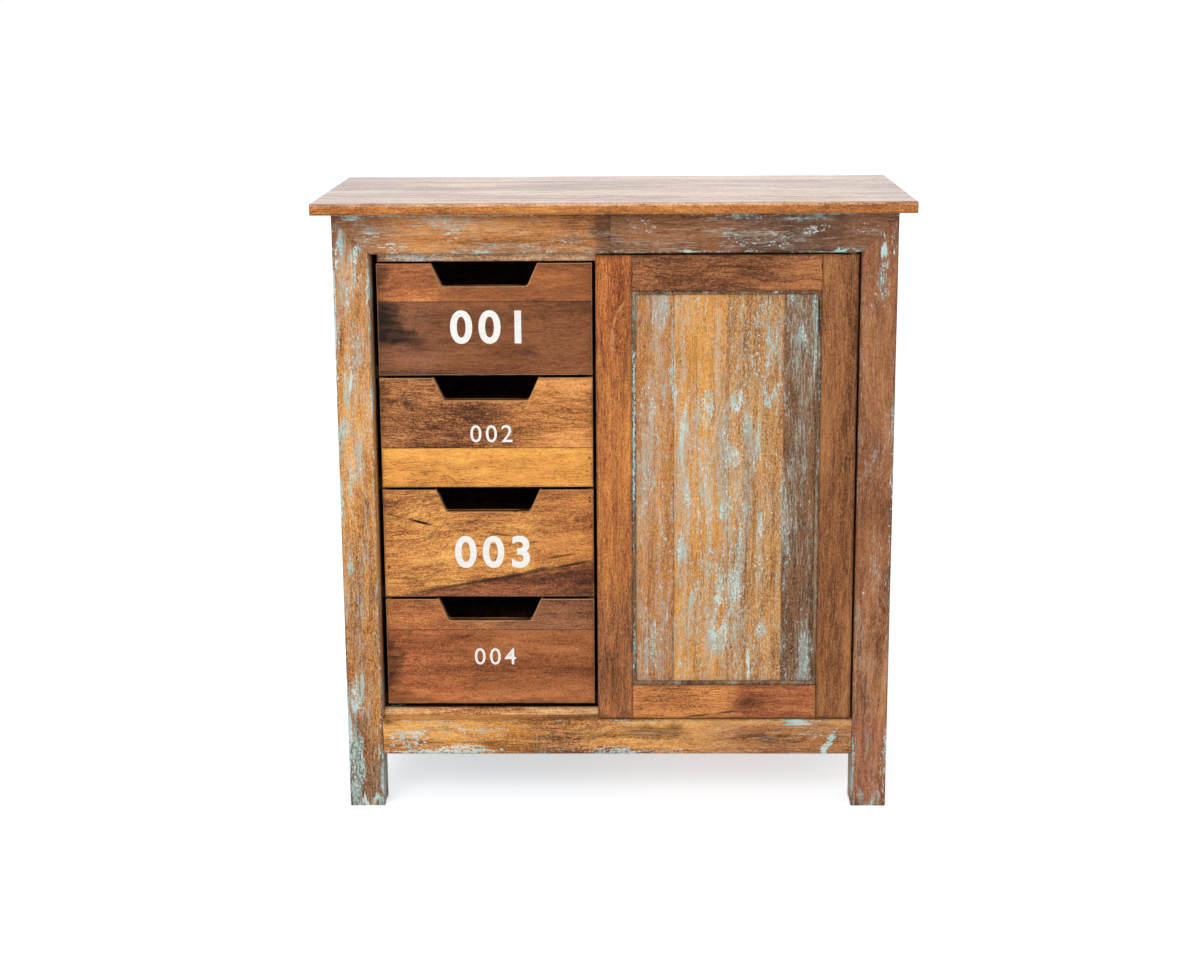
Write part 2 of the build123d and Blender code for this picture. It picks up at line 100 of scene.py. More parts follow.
# Plank seams by axis and place, and widths of their dirt and their groove
TOP_SEAMS = (("Y", -0.095), ("Y", 0.015), ("Y", 0.120))
SIDE_SEAMS = (("Y", -0.055), ("Y", 0.020), ("Y", 0.085))
PANEL_SEAMS = (("X", 0.081), ("X", 0.155), ("X", 0.229))
RAIL_SEAM = ("X", -0.004)
SEAM_DIRT = 0.0009
SEAM_GROOVE = 0.0014

# Widths of the darkening and the paint along edges, and of the edges of the top and the grips
DARK_EDGE_WIDTH = 0.0040
PAINT_EDGE_WIDTH = 0.0055
TOP_EDGE_WIDTH = 0.004
GRIP_EDGE_WIDTH = 0.002

# Colour borders: how soft one at a seam is, and up to which softness one stays straight
SEAM_BORDER = 0.0005
STRAIGHT_BORDER = 0.004

# Grain: its shift from plank to plank, its bends and its depth
PLANK_SHIFT_ALONG = 1.37
PLANK_SHIFT_ACROSS = 0.613
KNOT_BULGE = 0.02
BORDER_DRIFT = 0.035
STROKE_DRIFT = 0.03
GRAIN_DEPTH = 0.0006

# Satin coat of the top
COAT_ROUGHNESS = 0.25
COAT_INDEX = 1.65

# Numerals on the drawers, with the height and extra weight of each kind
NUMERAL_MIDDLE = -0.168
NUMERAL_LEVELS = (0.676, 0.530, 0.362, 0.212)
LARGE_NUMERAL = (0.046, 0.025)
SMALL_NUMERAL = (0.024, 0.003)
NUMERAL_SPACING = 1.25
PRINT_LIFT = 0.0002

# Colours of the wood's marks, as sRGB codes
PALE_GRAIN = "e0a065"
VEIN = "3a2114"
PORE = "5a3822"
KNOT = "4a2a17"
DARK_EDGE = "3b2415"
# Lighter colour of rounded edges: partly worn varnish, partly a painted highlight on the eased edges
WORN_EDGE_AND_HIGHLIGHT = "d9a670"
DIRT = "24150d"

# Colours of the paint remnants and the print
PAINT_COLOURS = ("eceae2", "dbe6e0", "bcd8d2", "94c2bd")
VEIL_COLOURS = ("c6b9a4", "b9bfb4", "9fbfba")
PATCH_VEIL = "a0cec9"
EDGE_VEIL = "7cafaa"
EDGE_PAINT = "8cc3bc"
SCUFF = "d3cabb"
PRINT_COLOURS = ("e9e4da", "fbf9f5")
WORN_PRINT = "95603c"

# Colours of the metal and plastic pieces
AGED_BRASS = "5b4a33"
STEEL = "9a9a9a"
TARNISH = "4a4238"
BLACK_PLASTIC = "1a1918"
DUST = "5b554c"

# Surroundings
FLOOR_SIZE = 60.0
FLOOR_COLOUR = (0.84, 0.88, 0.92, 1.0)
FLOOR_GLOW = (0.96, 0.98, 1.0, 1.0)
FLOOR_GLOW_STRENGTH = 0.60
SURROUND_STRENGTH = 0.56
LAMP_WIDTH = 3.6
LAMP_HEIGHT = 2.2
LAMP_POWER = 115.0
LAMP_PLACE = Vector((-1.0, -4.2, 2.8))
LAMP_AIM = Vector((0, 0, 0.4))

# Half depth of a patch that has no bounds in depth
WHOLE = 9.0


def linear(channel):
    """A linear channel of a colour from an sRGB one."""
    return channel / 12.92 if channel <= 0.04045 else ((channel + 0.055) / 1.055) ** 2.4


def srgb(code):
    """A linear colour with full alpha from a six-digit sRGB code."""
    return [linear(int(code[start:start + 2], 16) / 255) for start in (0, 2, 4)] + [1.0]


def scaled(code, factor):
    """A linear colour made darker or lighter."""
    return [min(1.0, channel * factor) for channel in srgb(code)[:3]] + [1.0]


@dataclass
class Zone:
    """A stretch of a board with its own dark, middle and light colour.

    Each bound is an axis or a direction, a place along it and a softness.
    A negative softness means the near side.
    """
    palette: tuple
    bounds: tuple


@dataclass
class Patch:
    """An oval on a board: its middle, its half sizes, its turn about Y and how strong it is."""
    middle: tuple
    size: tuple
    turn: float
    strength: float


def spot(x, z, width, height, strength, turn=0.0):
    """A patch on a face that looks to the front, whatever its depth. Positive turns rise to the right."""
    return Patch((x, 0, z), (width / 2, WHOLE, height / 2), math.radians(-turn), strength)


@dataclass
class Wood:
    """What the wood of one board is like.

    The grain runs along the axis. Zones to pale place colours and marks. Veins to the worn edges are
    strengths of the bare wood; the lighter worn edges are partly wear and partly a painted highlight. Veil
    to bare describe the old paint, and the rest is the sheen.
    """
    palette: tuple
    axis: str = "X"
    seed: float = 0.0
    rings: float = 20.0
    sway: float = 0.02
    tilt: float = 0.0
    zones: tuple = ()
    seams: tuple = ()
    stains: tuple = ()
    cracks: tuple = ()
    knots: tuple = ()
    pale: tuple = ()
    veins: float = 0.35
    figure: float = 1.2
    stripes: float = 0.4
    fibres: float = 1.3
    grit: float = 1.2
    seam_dirt: float = 0.7
    worn_edge_and_highlight: float = 0.0
    veil: float = 0.0
    paint: float = 0.0
    edge_paint: float = 0.0
    painted: tuple = ()
    patch_veil: float = 0.12
    brush: float = 3.0
    scuffs: float = 0.0
    bare: tuple = ()
    roughness: float = 0.45
    gloss: float = 0.12
    coat: float = 0.0


class Nodes:
    """A node tree in the making. Most methods add a node and return its output."""

    def __init__(self, tree):
        self.tree = tree

    def add(self, kind, **settings):
        node = self.tree.nodes.new(kind)
        for key, value in settings.items():
            setattr(node, key, value)
        return node

    def feed(self, socket, value):
        if isinstance(value, bpy.types.NodeSocket):
            self.tree.links.new(value, socket)
        else:
            socket.default_value = value

    def math(self, operation, first, second=0.0):
        node = self.add("ShaderNodeMath", operation=operation)
        self.feed(node.inputs[0], first)
        self.feed(node.inputs[1], second)
        return node.outputs[0]

    def vector(self, operation, first, second=(0, 0, 0)):
        node = self.add("ShaderNodeVectorMath", operation=operation)
        self.feed(node.inputs[0], first)
        self.feed(node.inputs[1], second)
        return node.outputs["Value" if operation in ("LENGTH", "DOT_PRODUCT") else "Vector"]

    def split(self, vector):
        node = self.add("ShaderNodeSeparateXYZ")
        self.feed(node.inputs[0], vector)
        return dict(zip("XYZ", node.outputs))

    def join(self, x, y, z):
        node = self.add("ShaderNodeCombineXYZ")
        for socket, value in zip(node.inputs, (x, y, z)):
            self.feed(socket, value)
        return node.outputs[0]

    def noise(self, place, scales, detail=4.0, roughness=0.55, distortion=0.0):
        """A noise about one half, with scales in waves to the metre."""
        node = self.add("ShaderNodeTexNoise")
        self.feed(node.inputs["Vector"], self.vector("MULTIPLY", place, scales))
        node.inputs["Scale"].default_value = 1.0
        node.inputs["Detail"].default_value = detail
        node.inputs["Roughness"].default_value = roughness
        node.inputs["Distortion"].default_value = distortion
        return node.outputs[0]

    def bands(self, place, scales, scale, distortion):
        """Wavy bands that rise slowly and fall at once, as the rings of a tree do."""
        node = self.add("ShaderNodeTexWave", bands_direction="Y", wave_profile="SAW")
        self.feed(node.inputs["Vector"], self.vector("MULTIPLY", place, scales))
        node.inputs["Scale"].default_value = scale
        node.inputs["Distortion"].default_value = distortion
        node.inputs["Detail"].default_value = 3.0
        node.inputs["Detail Scale"].default_value = 1.2
        return node.outputs[1]

    def weigh(self, parts):
        """A weighted sum of values about one half, itself about one half."""
        total = 0.5 - 0.5 * sum(weight for weight, value in parts)
        for weight, value in parts:
            total = self.math("ADD", total, self.math("MULTIPLY", value, weight))
        return total

    def swing(self, value, width):
        """A value about one half turned into one about zero."""
        return self.math("MULTIPLY", self.math("SUBTRACT", value, 0.5), width)

    def ease(self, value, low, high, start=0.0, end=1.0):
        """A smooth change from start to end while a value goes from low to high."""
        node = self.add("ShaderNodeMapRange", interpolation_type="SMOOTHSTEP")
        for socket, item in zip(node.inputs, (value, low, high, start, end)):
            self.feed(socket, item)
        return node.outputs[0]

    def ramp(self, value, stops):
        node = self.add("ShaderNodeValToRGB")
        elements = node.color_ramp.elements
        while len(elements) < len(stops):
            elements.new(0.5)
        for element, (position, colour) in zip(elements, stops):
            element.position = position
            element.color = colour
        self.feed(node.inputs[0], value)
        return node.outputs[0]

    def mix(self, factor, first, second, blend="MIX"):
        node = self.add("ShaderNodeMix", data_type="RGBA", blend_type=blend)
        for index, value in ((0, factor), (6, first), (7, second)):
            self.feed(node.inputs[index], value)
        return node.outputs[2]

    def oval(self, place, patch):
        """From 0 outside a patch to its strength inside it."""
        node = self.add("ShaderNodeMapping", vector_type="TEXTURE")
        self.feed(node.inputs["Vector"], place)
        node.inputs["Location"].default_value = patch.middle
        node.inputs["Rotation"].default_value = (0, patch.turn, 0)
        node.inputs["Scale"].default_value = patch.size
        distance = self.vector("LENGTH", node.outputs[0])
        return self.ease(distance, 1.0, 0.3, 0.0, patch.strength)

    def ovals(self, place, patches):
        """The strongest of several patches."""
        total = 0.0
        for patch in patches:
            total = self.math("MAXIMUM", total, self.oval(place, patch))
        return total

    def seen(self):
        """1 for what is seen straight, mirrored or through glass, and 0 for other light."""
        rays = self.add("ShaderNodeLightPath").outputs
        straight = self.math("MAXIMUM", rays["Is Camera Ray"], rays["Is Glossy Ray"])
        return self.math("MAXIMUM", straight, rays["Is Transmission Ray"])


class Surface(Nodes):
    """One material in the making."""

    def __init__(self, name):
        self.material = bpy.data.materials.new(name)
        self.material.use_nodes = True
        super().__init__(self.material.node_tree)
        self.shader = self.tree.nodes["Principled BSDF"]
        self.place = self.add("ShaderNodeTexCoord").outputs["Object"]

    def bump(self, height, depth, strength):
        node = self.add("ShaderNodeBump")
        node.inputs["Strength"].default_value = strength
        node.inputs["Distance"].default_value = depth
        self.feed(node.inputs["Height"], height)
        self.feed(self.shader.inputs["Normal"], node.outputs[0])


# Wood
def seam_steps(surface, seams):
    """How many plank seams lie before each point, and how near the nearest seam is."""
    axes = surface.split(surface.place)
    count = 0.0
    nearest = 1.0
    for axis, position in seams:
        count = surface.math("ADD", count, surface.math("GREATER_THAN", axes[axis], position))
        offset = surface.math("ABSOLUTE", surface.math("SUBTRACT", axes[axis], position))
        nearest = surface.math("MINIMUM", nearest, offset)
    return count, nearest


def grain_place(surface, wood, plank):
    """Coordinates with X along the grain, bent a little and shifted for each board and plank."""
    axes = surface.split(surface.place)
    others = [axis for axis in "XYZ" if axis != wood.axis]
    along = surface.math("ADD", axes[wood.axis], surface.math("MULTIPLY", plank, PLANK_SHIFT_ALONG))
    shift = surface.vector("ADD", surface.join(plank, plank, plank), (wood.seed, wood.seed, 0))
    bend = surface.noise(surface.vector("ADD", surface.place, shift), (5, 5, 5), 2.0)
    side = surface.swing(bend, wood.sway)
    side = surface.math("SUBTRACT", side, surface.math("MULTIPLY", axes[wood.axis], wood.tilt))
    side = surface.math("ADD", side, surface.math("MULTIPLY", plank, PLANK_SHIFT_ACROSS))
    first = surface.math("ADD", axes[others[0]], side)
    second = surface.math("ADD", axes[others[1]], side)
    board_shift = (wood.seed * 1.31, wood.seed * 0.47, 0)
    return surface.vector("ADD", surface.join(along, first, second), board_shift)


def stroke_place(surface, wood, grain):
    """Coordinates for marks of paint, drawn out along the grain."""
    across = surface.swing(surface.noise(grain, (14, 130, 130), 4.0, 0.6), STROKE_DRIFT)
    along = surface.math("MULTIPLY", across, wood.brush)
    drift = surface.join(*(along if axis == wood.axis else across for axis in "XYZ"))
    return surface.vector("ADD", surface.place, drift)


def edge_distance(surface, low, high):
    """The distance to the nearest edge of a board, from its box."""
    axes = surface.split(surface.place)
    sides = []
    for axis, start, end in zip("XYZ", low, high):
        from_start = surface.math("SUBTRACT", axes[axis], start)
        from_end = surface.math("SUBTRACT", end, axes[axis])
        sides.append(surface.math("MINIMUM", from_start, from_end))
    least = surface.math("MINIMUM", sides[0], sides[1])
    most = surface.math("MAXIMUM", sides[0], sides[1])
    return surface.math("MAXIMUM", least, surface.math("MINIMUM", most, sides[2]))


def palette_ramp(surface, tone, palette):
    """The colours of a palette over the tone of the grain, with a darker and a paler end."""
    dark, middle, light = palette
    stops = (
        (0.00, scaled(dark, 0.45)),
        (0.24, srgb(dark)),
        (0.50, srgb(middle)),
        (0.76, srgb(light)),
        (1.00, scaled(light, 1.3)),
    )
    return surface.ramp(tone, stops)


def zone_share(surface, warped, zone):
    """From 0 outside a zone to 1 inside it. Hard borders are straight, soft ones wander."""
    directions = {"X": (1, 0, 0), "Y": (0, 1, 0), "Z": (0, 0, 1)}
    share = 1.0
    for axis, start, soft in zone.bounds:
        place = surface.place if abs(soft) < STRAIGHT_BORDER else warped
        value = surface.vector("DOT_PRODUCT", place, directions.get(axis, axis))
        share = surface.math("MULTIPLY", share, surface.ease(value, start - soft, start + soft))
    return share


def grain_fields(surface, wood, grain):
    """The broad figure, the streaks and the fibres of the grain, and the tone that all its noises give."""
    broad = surface.noise(grain, (4, 17, 17), 4.0, 0.6, 0.5)
    mottle = surface.noise(grain, (38, 62, 62), 4.0, 0.65, 0.3)
    streak = surface.noise(grain, (11, 120, 120), 5.0, 0.66, 0.15)
    stripe = surface.noise(grain, (1.6, 44, 44), 3.0)
    fibre = surface.noise(grain, (46, 600, 600), 3.0, 0.66)
    grit = surface.noise(grain, (350, 520, 520), 2.0, 0.6)
    rings = surface.bands(grain, (0.07, 1, 1), wood.rings, 7.0)
    tone = surface.weigh((
        (wood.figure, broad),
        (wood.stripes, stripe),
        (0.3, mottle),
        (0.75, streak),
        (wood.fibres, fibre),
        (wood.grit, grit),
        (0.12, rings),
    ))
    return broad, streak, fibre, tone


def add_marks(surface, wood, colour, warped, streak, seam):
    """Stains, cracks, the hearts of knots and the dirt in plank seams over a wood colour."""
    if wood.stains:
        smoky = surface.ease(streak, 0.30, 0.66, 1.0, 0.6)
        smoke = surface.math("MULTIPLY", surface.ovals(warped, wood.stains), smoky)
        colour = surface.mix(smoke, colour, srgb(DIRT))
    if wood.cracks:
        colour = surface.mix(surface.ovals(surface.place, wood.cracks), colour, srgb(DIRT))
    for knot in wood.knots:
        heart = surface.ease(surface.oval(warped, knot), 0.5, 1.0, 0.0, 0.7)
        colour = surface.mix(heart, colour, srgb(KNOT))
    if wood.seams:
        dirt = surface.ease(seam, SEAM_DIRT, 0.0002, 0.0, wood.seam_dirt)
        colour = surface.mix(dirt, colour, srgb(DIRT))
    return colour


def add_veil(surface, wood, colour, grain, field, marks, rim):
    """A thin, scratched veil of paint over a wood colour."""
    cover = surface.math("ADD", field, surface.math("MULTIPLY", marks, wood.patch_veil))
    cover = surface.math("ADD", cover, surface.math("MULTIPLY", rim, 0.14))
    veil = surface.ease(cover, 0.70 - 0.30 * wood.veil, 1.06 - 0.30 * wood.veil, 0.0, 0.52)
    stops = tuple(zip((0.40, 0.50, 0.62), map(srgb, VEIL_COLOURS)))
    thin = surface.ramp(surface.noise(grain, (9, 34, 34), 3.0), stops)
    thin = surface.mix(surface.ease(marks, 0.1, 0.8, 0.0, 0.8), thin, srgb(PATCH_VEIL))
    thin = surface.mix(surface.math("MULTIPLY", rim, 0.6), thin, srgb(EDGE_VEIL))
    return surface.mix(veil, colour, thin)


def add_specks(surface, wood, colour, grain, field, marks, rim):
    """Thick specks of paint over a wood colour. Gives the new colour and how much of it they cover."""
    amount = surface.math("ADD", marks, surface.math("ADD", rim, wood.paint))
    cover = surface.math("ADD", field, surface.math("MULTIPLY", amount, 0.23))
    film = surface.ease(cover, 0.80, 0.86, 0.0, 0.84)
    stops = tuple(zip((0.30, 0.44, 0.54, 0.68), map(srgb, PAINT_COLOURS)))
    thick = surface.ramp(surface.noise(grain, (24, 90, 90), 4.0), stops)
    thick = surface.mix(surface.math("MULTIPLY", rim, 0.6), thick, srgb(EDGE_PAINT))
    return surface.mix(film, colour, thick), film


def add_paint(surface, wood, colour, grain, edge):
    """Old paint over a wood colour: a veil, hair scuffs and specks.

    Gives the new colour and how much of it the specks cover.
    """
    blotch = surface.noise(grain, (6, 40, 40), 4.0)
    brushed = surface.noise(grain, (13, 120, 120), 4.0, 0.65)
    scratch = surface.noise(grain, (110, 430, 430), 4.0, 0.7)
    speck = surface.noise(grain, (270, 380, 380), 3.0, 0.7)
    hair = surface.noise(grain, (24, 640, 640), 2.0, 0.6)
    rim = surface.ease(edge, PAINT_EDGE_WIDTH, 0.0012, 0.0, wood.edge_paint)
    stroke = stroke_place(surface, wood, grain)
    marks = surface.ovals(stroke, wood.painted)
    marks = surface.math("SUBTRACT", marks, surface.ovals(stroke, wood.bare))

    thin = surface.weigh(((0.9, blotch), (0.8, brushed), (1.0, scratch)))
    thick = surface.weigh(((1.0, speck), (0.7, scratch), (0.4, brushed)))
    colour = add_veil(surface, wood, colour, grain, thin, marks, rim)
    scuff = surface.ease(hair, 0.52, 0.66, 0.0, wood.scuffs)
    scuff = surface.math("MULTIPLY", scuff, surface.ease(thin, 0.30, 0.62))
    colour = surface.mix(scuff, colour, srgb(SCUFF))
    return add_specks(surface, wood, colour, grain, thick, marks, rim)


def add_sheen(surface, wood, tone, film, top):
    """Duller where the wood is dark or painted, with a satin coat on the top face of a coated board."""
    rough = surface.ease(tone, 0.1, 0.9, wood.roughness + 0.10, wood.roughness - 0.06)
    rough = surface.math("ADD", rough, surface.math("MULTIPLY", film, 0.2))
    sockets = surface.shader.inputs
    surface.feed(sockets["Roughness"], rough)
    sockets["Specular IOR Level"].default_value = wood.gloss
    if wood.coat:
        upper = surface.ease(surface.split(surface.place)["Z"], top - 0.003, top - 0.0015, 0.0, wood.coat)
        coat = surface.math("MULTIPLY", upper, surface.ease(tone, 0.1, 0.6, 0.7, 1.0))
        surface.feed(sockets["Coat Weight"], coat)
        sockets["Coat Roughness"].default_value = COAT_ROUGHNESS
        sockets["Coat IOR"].default_value = COAT_INDEX


def wood_material(name, wood, low, high):
    """Bare or varnished wood with its figure, pores, stains, plank seams and paint remnants."""
    surface = Surface(name)
    drift = surface.swing(surface.noise(surface.place, (40, 40, 40), 4.0), BORDER_DRIFT)
    warped = surface.vector("ADD", surface.place, surface.join(drift, drift, drift))
    plank, seam = seam_steps(surface, wood.seams)
    grain = grain_place(surface, wood, plank)
    for knot in wood.knots:
        bulge = surface.math("MULTIPLY", surface.oval(warped, knot), KNOT_BULGE)
        grain = surface.vector("ADD", grain, surface.join(0.0, bulge, bulge))
    broad, streak, fibre, tone = grain_fields(surface, wood, grain)

    colour = palette_ramp(surface, tone, wood.palette)
    for zone in wood.zones:
        share = zone_share(surface, warped, zone)
        colour = surface.mix(share, colour, palette_ramp(surface, tone, zone.palette))
    if wood.pale:
        colour = surface.mix(surface.ovals(surface.place, wood.pale), colour, srgb(PALE_GRAIN))
    line = surface.swing(surface.noise(grain, (2.4, 34, 34), 4.0, 0.5, 0.6), 1.0)
    vein = surface.ease(surface.math("ABSOLUTE", line), 0.016, 0.002, 0.0, wood.veins)
    vein = surface.math("MULTIPLY", vein, surface.ease(broad, 0.62, 0.45))
    colour = surface.mix(vein, colour, srgb(VEIN))
    pitted = surface.ease(surface.noise(grain, (90, 700, 700), 2.0, 0.6), 0.40, 0.29, 0.0, 0.55)
    colour = surface.mix(pitted, colour, srgb(PORE), "MULTIPLY")
    colour = add_marks(surface, wood, colour, warped, streak, seam)

    edge = surface.math("ADD", edge_distance(surface, low, high), surface.math("MULTIPLY", drift, 0.12))
    # Darker towards every edge of the board
    dark = surface.ease(edge, DARK_EDGE_WIDTH, 0.0005, 0.0, 0.40)
    colour = surface.mix(dark, colour, srgb(DARK_EDGE))
    # Rounded edges are lighter: partly worn varnish, partly a painted highlight on the eased edges
    if wood.worn_edge_and_highlight:
        rounded = surface.add("ShaderNodeAttribute", attribute_name="rounded").outputs["Fac"]
        worn = surface.ease(rounded, 0.2, 0.9, 0.0, wood.worn_edge_and_highlight)
        colour = surface.mix(worn, colour, srgb(WORN_EDGE_AND_HIGHLIGHT))
    film = 0.0
    if wood.veil or wood.paint or wood.edge_paint:
        colour, film = add_paint(surface, wood, colour, grain, edge)
    surface.feed(surface.shader.inputs["Base Color"], colour)
    add_sheen(surface, wood, tone, film, high[2])

    height = surface.weigh(((0.6, fibre), (0.3, streak), (-0.5, pitted), (0.35, film)))
    if wood.seams:
        height = surface.math("SUBTRACT", height, surface.ease(seam, SEAM_GROOVE, 0.0, 0.0, 1.2))
    surface.bump(height, GRAIN_DEPTH, 0.8)
    return surface.material


# Worn boards
def cut_grid(mesh, low, high):
    """Cuts a mesh across each axis, so that it has points enough to wear."""
    for axis in range(3):
        normal = Vector((0, 0, 0))
        normal[axis] = 1.0
        count = int((high[axis] - low[axis]) / CUT_SPACING)
        for step in range(1, count + 1):
            point = Vector(low)
            point[axis] += step * (high[axis] - low[axis]) / (count + 1)
            parts = mesh.verts[:] + mesh.edges[:] + mesh.faces[:]
            bmesh.ops.bisect_plane(mesh, geom=parts, plane_co=point, plane_no=normal, dist=JOIN_DISTANCE)


def hollow(place):
    """How far a face lies below its flat at a place."""
    return WAVE_DEPTH * (0.5 + 0.5 * noise.noise(place * WAVE_SCALE))


def wear(mesh, low, high):
    """Hollows the faces a little and dents the rounded edges, always inwards.

    Mitres and corners keep their line.
    """
    rounded = mesh.verts.layers.float.new("rounded")
    mesh.normal_update()
    moves = []
    for vertex in mesh.verts:
        depth = hollow(vertex.co)
        parts = sorted(abs(part) for part in vertex.normal)
        if parts[2] < FACE_LIMIT:
            vertex[rounded] = 1.0
        if parts[2] < FACE_LIMIT and parts[0] < CORNER_LIMIT:
            depth += DENT_DEPTH * max(0.0, noise.noise(vertex.co * DENT_SCALE) - DENT_START)
        moves.append(vertex.normal * -depth)
    for vertex, move in zip(mesh.verts, moves):
        moved = vertex.co + move
        vertex.co = [min(max(part, start), end) for part, start, end in zip(moved, low, high)]


def add_piece(name, mesh, node, material):
    """Makes an object of a mesh that rides with the body of a node."""
    data = bpy.data.meshes.new(name)
    mesh.to_mesh(data)
    mesh.free()
    data.shade_smooth()
    data.set_sharp_from_angle(angle=SHARP_ANGLE)
    data.materials.append(material)
    piece = bpy.data.objects.new(name, data)
    bpy.context.scene.collection.objects.link(piece)
    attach(piece, frame["nodes"][node]["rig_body"])
    return piece


def dress(node, wood):
    """A worn board with its own wood, in the place of a plain one."""
    low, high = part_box(node)
    mesh = bmesh.new()
    mesh.from_mesh(frame["nodes"][node].data)
    bmesh.ops.remove_doubles(mesh, verts=mesh.verts[:], dist=JOIN_DISTANCE)
    cut_grid(mesh, low, high)
    wear(mesh, low, high)
    piece = add_piece(f"{node}_worn", mesh, node, wood_material(node, wood, low, high))
    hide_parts(node)


def coat_node(node, material):
    """Gives a piece that keeps its plain solid a material."""
    slots = frame["nodes"][node].data.materials
    slots.clear()
    slots.append(material)


# The boards of the cabinet
TAN = ("a06c3e", "c88e54", "dcaa70")
RUSSET = ("7c4b2f", "99623e", "b07a52")


def dress_top():
    """The planked top, with a satin coat."""
    upper = ("Z", cad_box[1][2] - TOP_EDGE_WIDTH, 0.002)
    second, third, fourth = ((*seam, SEAM_BORDER) for seam in TOP_SEAMS)
    end = ("7c4c34", "b87e56", "dca672")
    # The upper face has paler colours than the edge: partly paler wood, partly painted sheen over the satin
    # coat
    zones = (
        Zone(("a06a48", "e6ac80", "ffd4ac"), (upper,)),
        Zone(("925a3a", "d89a6c", "f6c698"), (second, upper)),
        Zone(("84503a", "c08462", "e2ae88"), (third, ("X", -0.150, 0.060), upper)),
        Zone(("925c40", "dca078", "fad0a6"), (fourth, upper)),
        Zone(end, (("X", -0.300, -0.070), upper)),
        Zone(end, (("X", 0.350, 0.040), upper)),
    )
    wood = Wood(
        ("8a522a", "b87039", "d48e4a"), seed=3.1, zones=zones, seams=TOP_SEAMS, fibres=1.0,
        worn_edge_and_highlight=0.2, roughness=0.34, coat=1.0,
    )
    dress("top_board", wood)


def left_leg_wood():
    """The pale front leg, with paint all the way down."""
    return Wood(
        ("a86832", "d28e48", "e4aa64"), "Z", seed=1.7, stripes=0.8, fibres=1.0, grit=1.6, scuffs=0.4,
        veil=0.82, paint=0.45, edge_paint=0.4, patch_veil=0.22, roughness=0.55,
        zones=(
            Zone(("8a5228", "b47640", "ca9056"), (("Z", 0.60, 0.05),)),
            Zone(("a06632", "cc8a46", "e0a660"), (("Z", 0.42, -0.08),)),
            Zone(("8a562c", "bc7a40", "d09658"), (("Z", 0.28, -0.05),)),
            Zone(("4a2c18", "8a5833", "b07c4c"), (("Z", 0.10, -0.05),)),
            Zone(("5c3820", "865634", "9c6a42"), (("Z", 0.775, 0.020),)),
        ),
        painted=(
            spot(-0.366, 0.785, 0.016, 0.050, 0.9),
            spot(-0.342, 0.786, 0.020, 0.070, 1.0, -20),
            spot(-0.364, 0.820, 0.020, 0.030, 0.7),
            spot(-0.346, 0.745, 0.020, 0.080, 0.7),
            spot(-0.352, 0.640, 0.040, 0.200, 0.4),
            spot(-0.356, 0.720, 0.022, 0.080, 0.6),
            spot(-0.358, 0.605, 0.024, 0.070, 1.0),
            spot(-0.363, 0.550, 0.018, 0.060, 1.0),
            spot(-0.345, 0.500, 0.020, 0.080, 0.6),
            spot(-0.358, 0.470, 0.022, 0.070, 0.7),
            spot(-0.364, 0.360, 0.016, 0.080, 0.8),
            spot(-0.361, 0.165, 0.030, 0.080, 1.0),
            spot(-0.363, 0.060, 0.026, 0.170, 1.0),
            spot(-0.352, 0.004, 0.080, 0.020, 1.4),
            spot(-0.329, 0.050, 0.014, 0.130, 1.0),
            spot(-0.375, 0.680, 0.012, 0.260, 1.0),
            spot(-0.375, 0.440, 0.012, 0.160, 0.9),
            spot(-0.375, 0.100, 0.014, 0.200, 1.1),
            spot(-0.3265, 0.735, 0.010, 0.080, 0.8),
            spot(-0.3265, 0.590, 0.008, 0.080, 0.7),
            spot(-0.3265, 0.160, 0.010, 0.100, 0.8),
        ),
        bare=(spot(-0.342, 0.080, 0.020, 0.140, 0.2),),
    )


def right_leg_wood():
    """The reddish front leg, with drips of paint at the top."""
    return Wood(
        RUSSET, "Z", seed=5.3, sway=0.05, fibres=0.7, grit=1.0, scuffs=0.25,
        veil=0.4, paint=0.25, edge_paint=0.25, patch_veil=0.25, roughness=0.5,
        zones=(
            Zone(("7c4b30", "9e653f", "b27a50"), (("Z", 0.56, 0.05),)),
            Zone(("74462e", "96603f", "aa744e"), (("Z", 0.74, 0.04),)),
            Zone(("885638", "b07852", "c68e60"), (("Z", 0.30, -0.05),)),
            Zone(("8a543a", "ae6f4d", "c08560"), (("Z", 0.13, -0.01),)),
        ),
        knots=(spot(0.353, 0.130, 0.020, 0.030, 0.8),),
        painted=(
            spot(0.360, 0.783, 0.013, 0.036, 1.9),
            spot(0.359, 0.806, 0.012, 0.014, 1.2),
            spot(0.360, 0.762, 0.012, 0.014, 1.3),
            spot(0.372, 0.795, 0.010, 0.060, 0.6),
            spot(0.358, 0.735, 0.030, 0.090, 0.8),
            spot(0.352, 0.350, 0.036, 0.160, 0.35),
            spot(0.346, 0.006, 0.080, 0.030, 0.7),
            spot(0.331, 0.060, 0.012, 0.130, 1.2),
            spot(0.374, 0.060, 0.014, 0.150, 0.9),
            spot(0.376, 0.450, 0.008, 0.600, 0.5),
        ),
    )


def dress_legs():
    """The four legs, with most paint left at the feet and along the edges."""
    dress("front_left_leg", left_leg_wood())
    dress("front_right_leg", right_leg_wood())
    dress("rear_left_leg", Wood(TAN, "Z", seed=8.9, veil=0.6, paint=0.5, edge_paint=1.0, roughness=0.55))
    dress("rear_right_leg", Wood(RUSSET, "Z", seed=4.2, veil=0.4, paint=0.3, edge_paint=1.0, roughness=0.5))


